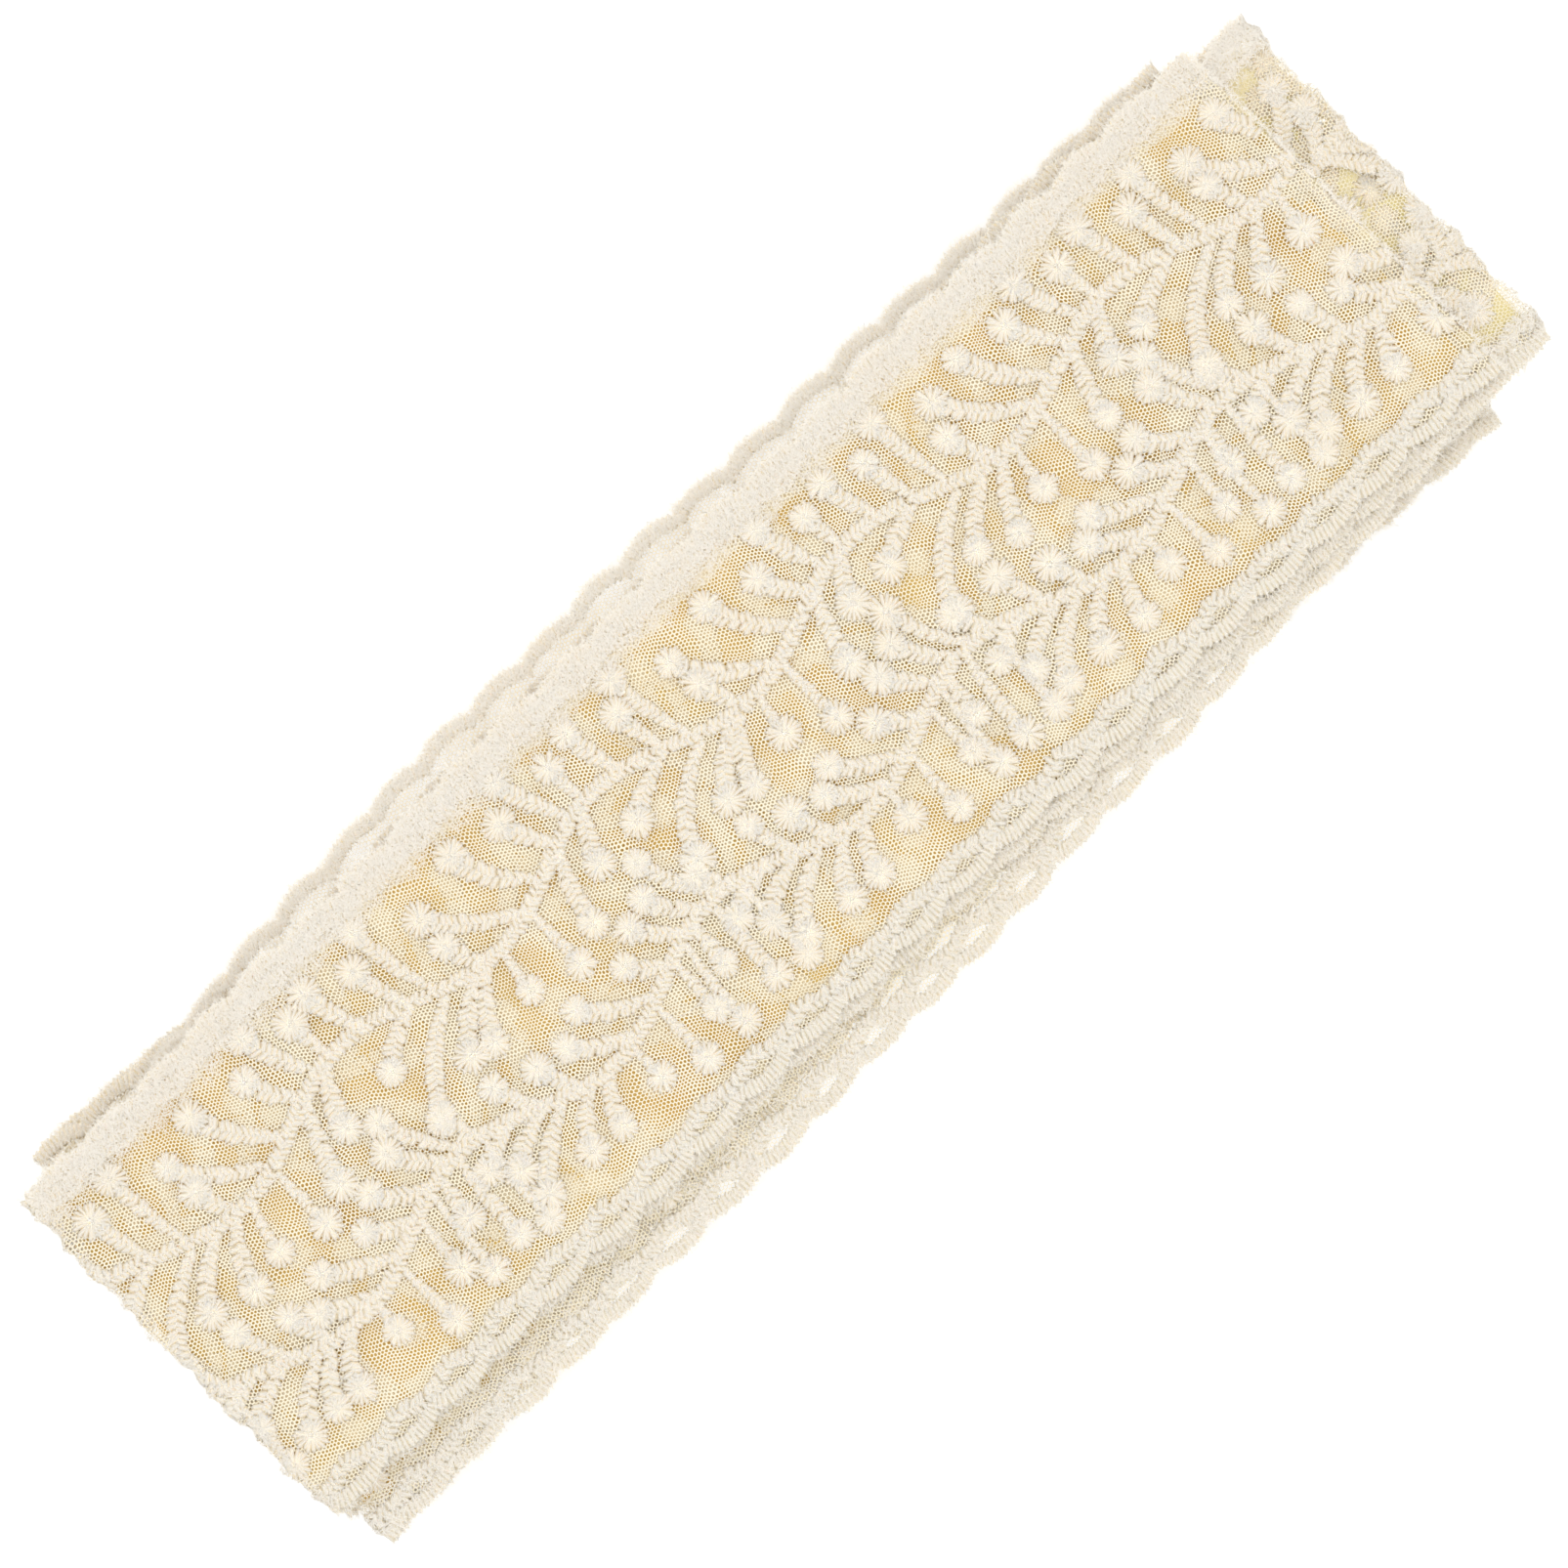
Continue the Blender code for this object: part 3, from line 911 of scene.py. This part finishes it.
def net_group():
    """Six-sided meshes of fine net: how much of each place is thread."""
    tree, given, result = group(
        "bobbin_net",
        (("NodeSocketFloat", "Pitch", 0.00065), ("NodeSocketFloat", "Open", 0.1)),
        (("NodeSocketFloat", "Thread"),),
    )
    place = cloth_place(tree)
    pull = tree.nodes.new("ShaderNodeVectorMath")
    pull.operation = "MULTIPLY_ADD"
    tree.links.new(noise(tree, place, DRIFT_SCALE, 0.0, "Color"), pull.inputs[0])
    pull.inputs[1].default_value = DRIFT_REACH
    tree.links.new(place, pull.inputs[2])
    split = tree.nodes.new("ShaderNodeSeparateXYZ")
    tree.links.new(pull.outputs[0], split.inputs[0])
    wave = math_node(tree, "DIVIDE", 4 * math.pi / math.sqrt(3), given.outputs["Pitch"])
    total = None
    for turn in (0.0, math.pi / 3, 2 * math.pi / 3):
        lean = math_node(tree, "ADD", math_node(tree, "MULTIPLY", split.outputs["X"], math.cos(turn)),
                         math_node(tree, "MULTIPLY", split.outputs["Y"], math.sin(turn)))
        line = math_node(tree, "COSINE", math_node(tree, "MULTIPLY", lean, wave))
        total = line if total is None else math_node(tree, "ADD", total, line)
    patches = math_node(tree, "MULTIPLY_ADD", noise(tree, place, OPEN_SCALE, 1.0), *OPENNESS)
    bar = math_node(tree, "ADD", given.outputs["Open"], patches)
    thread = math_node(tree, "MULTIPLY", math_node(tree, "SUBTRACT", bar, total), THREAD_EDGE)
    tree.links.new(clamped(tree, thread), result.inputs["Thread"])
    return tree


def net_material(name, openness, sizes, colours):
    """The net ground: cotton thread with open meshes, which are wider where openness is lower."""
    made = cotton(name, colours.net, colours.net_shade)
    tree = made.node_tree
    shader = tree.nodes["Principled BSDF"]
    mesh = tree.nodes.new("ShaderNodeGroup")
    mesh.node_tree = bpy.data.node_groups.get("bobbin_net") or net_group()
    set_all(mesh, {"Pitch": sizes.net_pitch, "Open": openness})
    tree.links.new(mesh.outputs["Thread"], shader.inputs["Alpha"])
    return made


# Colours of each kind of thread. The kinds with a side colour are embroidery cotton; the side colour
# is painted shade between stitches.
THREAD_KINDS = {
    "cream_thread": ("thread", "thread_shade", "thread_painted_shade"),
    # the lower edge's thread, darker for painted shade
    "cream_shaded_border_thread": ("thread_shaded_border", "thread_shaded_border_shade", "thread_shaded_border_side"),
    # the stitches under the top net, with painted warm light
    "cream_thread_painted_under_net": ("thread_painted_under_net", "thread_painted_under_net_shade"),
    "cream_fibres": ("fibre", "fibre_shade"),
}


def thread_material(name, colours):
    """The material of one kind of thread, made once. Light soaks into embroidery cotton."""
    made = bpy.data.materials.get(name)
    if not made:
        tints = [getattr(colours, tint) for tint in THREAD_KINDS[name]]
        made = cotton(name, *tints)
        if len(tints) == 3:
            shader = made.node_tree.nodes["Principled BSDF"]
            shader.subsurface_method = "BURLEY"
            set_all(shader, SOAKED)
    return made


# Operators

SEEDS = {"sprays": 7, "threads": 5, "borders": 11}
VINE_WIDTH = 0.85            # over a full leaflet's
LEAFLET_ROOT = 0.45          # a leaflet's width at its root over its full width


class LACE_OT_sprays(Operator):
    """Stitches the vines, the sprays and their dots"""

    bl_idname = "lace.sprays"
    bl_label = "Sprays and dots"

    def execute(self, context):
        sizes, colours = context.scene.lace_sizes, context.scene.lace_colours
        thread = thread_material("cream_thread", colours)
        # The stitches under the top net take the painted copy of the thread, lighter and warmer.
        inner = thread_material("cream_thread_painted_under_net", colours)
        random = np.random.default_rng(SEEDS["sprays"])
        vines, leaflets, dots = spray_lines(random)
        leaves, rounds, fuzzy = Stitches(), Stitches(), []
        for line in vines:
            plait(leaves, line, VINE_WIDTH, VINE_WIDTH, sizes, random)
        for line, width in leaflets:
            plait(leaves, line, LEAFLET_ROOT, width, sizes, random)
        rosette(rounds, dots, sizes, random)
        for name, stitches in (("sprays", leaves), ("dots", rounds)):
            rows = stitches.all()
            along, across = middles(rows)
            top = along > TOP_START
            beneath, above = covered(along, across)
            through = (along > SECOND_START) & ~top & beneath
            seen = ~(beneath & above) & ~through & ~top
            past_cut = seen & (along > PAST_CUT[0]) & (along < PAST_CUT[1])
            stitched(f"{name}_top", rows[top], thread)
            stitched(f"{name}_second", rows[through], inner)
            stitched(f"{name}_under", rows[seen & (along > LOWEST_END)], thread)
            fuzzy += [rows[top], rows[past_cut], rows[past_cut]]
        rows = np.repeat(np.vstack(fuzzy), SPRAY_FIBRES, axis=0)
        root = on_stitches(rows, 0.1, random)
        turn = any_way(len(rows), random)
        fibres("loose_fibres", root, turn, 1.0, (sizes, colours), random)
        return {"FINISHED"}


THREAD_POINTS = 14
THREAD_STEPS = (0.00045, 0.0008)
THREAD_RADIUS = 0.00007
THREAD_LOW, THREAD_RISE = 0.00075, 0.00025   # height over the net at the ends, and more in between


class LACE_OT_threads(Operator):
    """Lays a few loose ends of thread over the top length"""

    bl_idname = "lace.threads"
    bl_label = "Loose threads"

    def execute(self, context):
        random = np.random.default_rng(SEEDS["threads"])
        points, faces, count = [], [], THREAD_POINTS
        for along, across, heading in THREADS:
            kinks = np.cumsum(random.normal(0, 0.16, count))
            turn = heading + kinks + np.linspace(0, random.normal(0, 0.9), count)
            step = random.uniform(*THREAD_STEPS)
            path = np.cumsum(np.column_stack((np.cos(turn), np.sin(turn))) * step, axis=0)
            path += (CHART_START + along * MM, across * MM)
            side = np.column_stack((-np.sin(turn), np.cos(turn))) * THREAD_RADIUS
            high = THREAD_LOW + THREAD_RISE * np.sin(np.linspace(0, math.pi, count))
            rings = []
            for out, up in RING_TURNS:
                place = path + side * out
                rings.append(cloth(place[:, 0], place[:, 1], high + up * THREAD_RADIUS))
            base = sum(len(p) for p in points)
            points.append(np.stack(rings, axis=1).reshape(-1, 3))
            ring = base + 4 * np.arange(count - 1)[:, None, None]
            turns = np.array([[k, (k + 1) % 4, 4 + (k + 1) % 4, 4 + k] for k in range(4)])
            faces.append((ring + turns).reshape(-1, 4))
            last = base + 4 * (count - 1)
            faces.append(base + np.array([[3, 2, 1, 0]]))
            faces.append(last + np.array([[0, 1, 2, 3]]))
        points, faces = np.vstack(points), np.vstack(faces)
        mesh = mesh_of("loose_threads", points, [faces], np.zeros((len(points), 2)))
        piece("loose_threads", mesh, thread_material("cream_thread", context.scene.lace_colours))
        return {"FINISHED"}


class LACE_OT_borders(Operator):
    """Stitches the straight bands and the scalloped cords along both edges"""

    bl_idname = "lace.borders"
    bl_label = "Borders"

    def execute(self, context):
        sizes, colours = context.scene.lace_sizes, context.scene.lace_colours
        settings = (sizes, colours)
        random = np.random.default_rng(SEEDS["borders"])
        bands, cords = border_lines(sizes)
        for name, lines, width in (
            ("border_bands", bands, sizes.band_width), ("border_cords", cords, sizes.cord_width)
        ):
            stitches = Stitches()
            for line in lines:
                if name == "border_cords":
                    satin(stitches, line, width, sizes, random)
                elif line[0, 1] > 0:
                    satin(stitches, line, width * UPPER_BAND, sizes, random)
                else:
                    plait(stitches, line, 1.0, width / sizes.leaf_width, sizes, random)
            if name == "border_bands":
                along = np.arange(TOP_START, STRIP_LENGTH, BORDER_STEP)
                across = HALF_WIDTH - FILL_INSET + FILL_SWAY * np.sin(along * FILL_RATE)
                satin(stitches, np.column_stack((along, across)), width * FILL_BAND, sizes, random)
            rows = stitches.all()
            if name == "border_bands":
                beneath, above = covered(*middles(rows))
                rows = rows[~(beneath & above)]
            # The lower edge's stitches take the darker border thread, painted shade of the strip's
            # lower side; the upper edge's take the plain thread.
            made = stitched(name, rows, thread_material("cream_shaded_border_thread", colours)).data
            made.materials.append(thread_material("cream_thread", colours))
            upper = np.tile(middles(rows)[1] > 0, len(made.polygons) // len(rows))
            made.polygons.foreach_set("material_index", upper.astype(np.int32))
            beneath, _ = covered(*middles(rows))
            rows = np.repeat(rows[~beneath], BORDER_FIBRES[name], axis=0)
            root = on_stitches(rows, 0.0, random)
            turn = np.sign(root[:, 1]) * math.pi / 2 + random.normal(0, 1.0, len(rows))
            fibres(f"{name}_fibres", root, turn, 1.4, settings, random)
        along = random.uniform(STRETCHES[1][2], STRETCHES[-1][2], HAZE_FIBRES)
        side = random.choice((-1.0, 1.0), HAZE_FIBRES)
        inset = random.uniform(0, HAZE_WIDTH, HAZE_FIBRES)
        root = np.column_stack((along, side * (edge_of(along) - inset)))
        root = root[~covered(root[:, 0], root[:, 1])[0]]
        fibres("edge_haze", root, any_way(len(root), random), 1.6, settings, random)
        roots = []
        for start, end, width, count in FELTS:
            along = random.uniform(start, end, count)
            inset = random.beta(1.3, 1.9, count) * width
            roots.append(np.column_stack((along, edge_of(along) - inset)))
        root = np.vstack(roots)
        fibres("felted_edge", root, any_way(len(root), random), 1.3, settings, random)
        inner_edge = HALF_WIDTH - SCALLOP_DEPTH
        roots = [np.column_stack((
            random.uniform(STRIP_LENGTH - END_FRAY, STRIP_LENGTH, END_FIBRES),
            random.uniform(-HALF_WIDTH, inner_edge, END_FIBRES),
        ))]
        for kind, _, start, end in STRETCHES:
            if kind == "fold":
                roots.append(np.column_stack((
                    random.uniform(start, end, FOLD_FIBRES),
                    random.uniform(-inner_edge, inner_edge, FOLD_FIBRES),
                )))
        root = np.vstack(roots)
        fibres("end_fibres", root, random.normal(0, 0.9, len(root)), 1.2, settings, random)
        return {"FINISHED"}


# The net's mesh: steps along a length and along a fold, rows of points across, and how far the
# cord reaches over its edge
NET_STEP, FOLD_STEP, NET_ROWS, NET_HEM = 0.0021, 0.0004, 31, 0.0010
FACE_MIDDLE = (0.0004, 0.0008)       # from a face's first corner
BORDER_DEPTH = 0.0078                # of the strip along each edge that has the edge's cloth
BY_THE_CUT = 0.0020                  # the cloth past the cut starts this far under its edge
CUT_UNEVENNESS = 0.0005
CUT_WAVES = (700, 290)               # radians for each metre


class LACE_OT_net(Operator):
    bl_idname = "lace.net"
    bl_label = "Net ground"

    def execute(self, context):
        sizes, colours = context.scene.lace_sizes, context.scene.lace_colours
        along = []
        for kind, _, start, end in STRETCHES:
            step = NET_STEP if kind == "length" else FOLD_STEP
            count = max(2, round((end - start) / step))
            along.append(np.linspace(start, end, count, endpoint=False))
        along = np.concatenate(along + [[STRIP_LENGTH]])
        a = np.repeat(along, NET_ROWS)
        c = np.tile(np.linspace(-1.0, 1.0, NET_ROWS), len(along)) * (edge_of(a) - NET_HEM)
        frayed = 1 + np.sin(CUT_WAVES[0] * c) * np.sin(CUT_WAVES[1] * c + 1)
        a = np.minimum(a, STRIP_LENGTH - CUT_UNEVENNESS * frayed)
        points = cloth(a, c, np.zeros(len(a)))
        corner = (np.arange(len(along) - 1)[:, None] * NET_ROWS + np.arange(NET_ROWS - 1)).ravel()
        faces = np.column_stack((corner, corner + NET_ROWS, corner + NET_ROWS + 1, corner + 1))
        mesh = mesh_of("net_ground", points, [faces], np.column_stack((a, c)))
        net = piece("net_ground", mesh, net_material("cream_net", 0.0, sizes, colours))
        # The cloth inside the bundle and in the fold is opaque and painted with warm shade instead of
        # open net.
        for material in (
            cotton("cream_net_painted_shade", colours.inside, colours.inside_shade),
            net_material("cream_net_edge", -0.5, sizes, colours),
            cotton("cream_net_painted_shade_edge", colours.inside_edge, colours.net_shade),
            cotton("cream_net_fold_painted_shade", colours.fold_inside, colours.inside_edge),
            net_material("cream_net_past_cut", -0.45, sizes, colours),
        ):
            mesh.materials.append(material)
        # Kinds of face: the shaded ones inside the bundle take the painted shade
        plain, shaded_bundle, edge, shaded_bundle_edge, fold, beyond = range(6)
        face_a, face_c = a[corner] + FACE_MIDDLE[0], c[corner] + FACE_MIDDLE[1]
        inside, above = covered(face_a, face_c)
        by_edge = np.abs(face_c) > HALF_WIDTH - BORDER_DEPTH
        kinds = np.where(
            inside, np.where(by_edge, shaded_bundle_edge, shaded_bundle), np.where(by_edge & ~above, edge, plain)
        )
        past_cut = points[corner, 0] > LENGTHS[TOP].right - BY_THE_CUT
        kinds[inside & past_cut] = fold
        kinds[~inside & past_cut & (a[corner] > PAST_CUT[0])] = beyond
        mesh.polygons.foreach_set("material_index", kinds.astype(np.int32))
        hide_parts(NODE)
        return {"FINISHED"}


FLOOR_HALF = 12.0            # so wide that its end shows in no view
FLOOR_PAINT = {
    "Roughness": 0.9, "Specular IOR Level": 0.1, "Emission Color": (1, 1, 1, 1),
    "Emission Strength": 0.42,
}
WORLD_LIGHT = 0.84
Lamp = namedtuple("Lamp", "name place size power")
LAMPS = (Lamp("key", (-0.05, 0.15, 0.8), 0.7, 1.75), Lamp("fill", (0.3, -0.6, 1.0), 0.9, 1.4))
FOCAL_LENGTH, SENSOR_WIDTH = 100.0, 36.0     # in millimetres
CAMERA_PLACE = (-0.0022, -0.0017, 0.7785)
PHOTO_UP = (0.7096, 0.7046, 0.0)     # the way to the photo's upper edge


class LACE_OT_stage(Operator):
    """Sets up the floor, the soft light and the camera"""

    bl_idname = "lace.stage"
    bl_label = "Stage"

    def execute(self, context):
        scene = context.scene
        floor_mesh = bpy.data.meshes.new("floor")
        corners = [
            (x * FLOOR_HALF, y * FLOOR_HALF, 0) for x, y in ((-1, -1), (1, -1), (1, 1), (-1, 1))
        ]
        floor_mesh.from_pydata(corners, [], [(0, 1, 2, 3)])
        floor = bpy.data.objects.new("floor", floor_mesh)
        scene.collection.objects.link(floor)
        paint = bpy.data.materials.new("floor_paint")
        paint.use_nodes = True
        shader = paint.node_tree.nodes["Principled BSDF"]
        shader.inputs["Base Color"].default_value = (*scene.lace_colours.floor, 1)
        set_all(shader, FLOOR_PAINT)
        floor_mesh.materials.append(paint)
        world = bpy.data.worlds.new("studio")
        world.use_nodes = True
        background = world.node_tree.nodes["Background"]
        set_all(background, {"Color": (1, 1, 1, 1), "Strength": WORLD_LIGHT})
        scene.world = world
        for lamp in LAMPS:
            light = bpy.data.lights.new(lamp.name, "AREA")
            light.size, light.energy = lamp.size, lamp.power
            made = bpy.data.objects.new(lamp.name, light)
            made.location = lamp.place
            made.rotation_euler = (-Vector(lamp.place)).to_track_quat("-Z", "Y").to_euler()
            scene.collection.objects.link(made)
        lens = bpy.data.cameras.new("camera")
        lens.lens, lens.sensor_width = FOCAL_LENGTH, SENSOR_WIDTH
        lens.clip_start = 0.01
        camera = bpy.data.objects.new("camera", lens)
        scene.collection.objects.link(camera)
        up = Vector(PHOTO_UP).normalized()
        turn = Matrix(((up.y, up.x, 0.0), (-up.x, up.y, 0.0), (0.0, 0.0, 1.0)))
        camera.location = CAMERA_PLACE
        camera.rotation_euler = turn.to_euler()
        scene.camera = camera
        scene.view_settings.view_transform = "Standard"
        scene.cycles.transparent_max_bounces = 24
        scene.cycles.diffuse_bounces = 8
        return {"FINISHED"}


class LACE_PT_panel(Panel):
    """Lists the sizes, the colours and the operators that build the pieces"""

    bl_idname = "LACE_PT_panel"
    bl_label = "Folded lace trim"
    bl_space_type = "VIEW_3D"
    bl_region_type = "UI"
    bl_category = "Lace"

    def draw(self, context):
        for settings in (context.scene.lace_sizes, context.scene.lace_colours):
            box = self.layout.box()
            for name in settings.__annotations__:
                box.prop(settings, name)
        for operator in OPERATORS:
            self.layout.operator(operator.bl_idname)


# The net comes last, and it hides the imported solid
OPERATORS = (LACE_OT_stage, LACE_OT_sprays, LACE_OT_threads, LACE_OT_borders, LACE_OT_net)
CLASSES = (LaceSizes, LaceColours, *OPERATORS, LACE_PT_panel)


def register():
    """Registers the classes and hangs the settings on the scene."""
    for cls in CLASSES:
        bpy.utils.register_class(cls)
    bpy.types.Scene.lace_sizes = PointerProperty(type=LaceSizes)
    bpy.types.Scene.lace_colours = PointerProperty(type=LaceColours)


def unregister():
    """Takes the settings and the classes away."""
    del bpy.types.Scene.lace_colours
    del bpy.types.Scene.lace_sizes
    for cls in reversed(CLASSES):
        bpy.utils.unregister_class(cls)


def main():
    """Builds everything in order."""
    register()
    bpy.ops.lace.stage()
    bpy.ops.lace.sprays()
    bpy.ops.lace.threads()
    bpy.ops.lace.borders()
    bpy.ops.lace.net()


if __name__ == "__main__":
    main()
